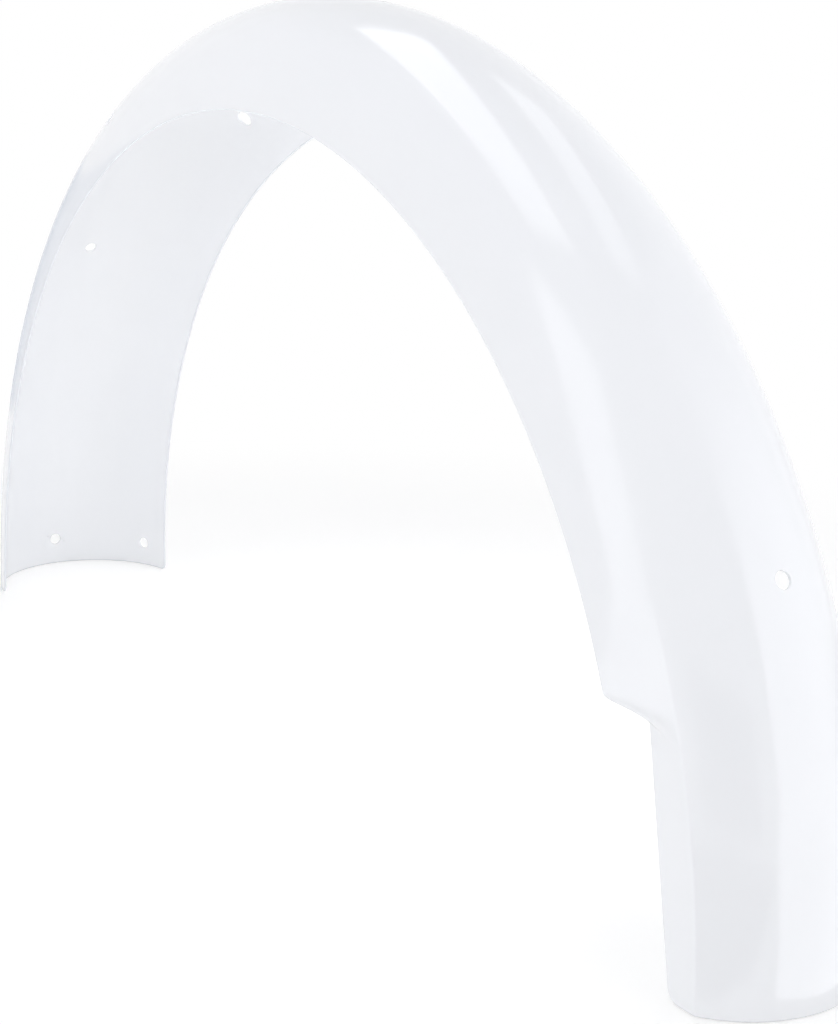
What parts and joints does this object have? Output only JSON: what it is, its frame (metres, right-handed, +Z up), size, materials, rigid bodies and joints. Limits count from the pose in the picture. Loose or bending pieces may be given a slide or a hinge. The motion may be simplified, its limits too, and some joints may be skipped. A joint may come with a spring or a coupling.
{
  "type": "moped rear mudguard",
  "caption": "Half-round pressed mudguard bent through half a turn, with stepped-in flat panels at one end and holes for screws and stays.",
  "frame": {"origin": "wheel axle, in the middle plane and in the plane of both cut ends", "axes": "+X towards the plain end, +Y across the wheel, +Z up to the top of the arc"},
  "size_m": [0.6, 0.0938, 0.3],
  "materials": {
    "paint": "glossy white paint on pressed steel"
  },
  "bodies": {
    "root": {"mudguard": "paint"}
  },
  "joints": []
}
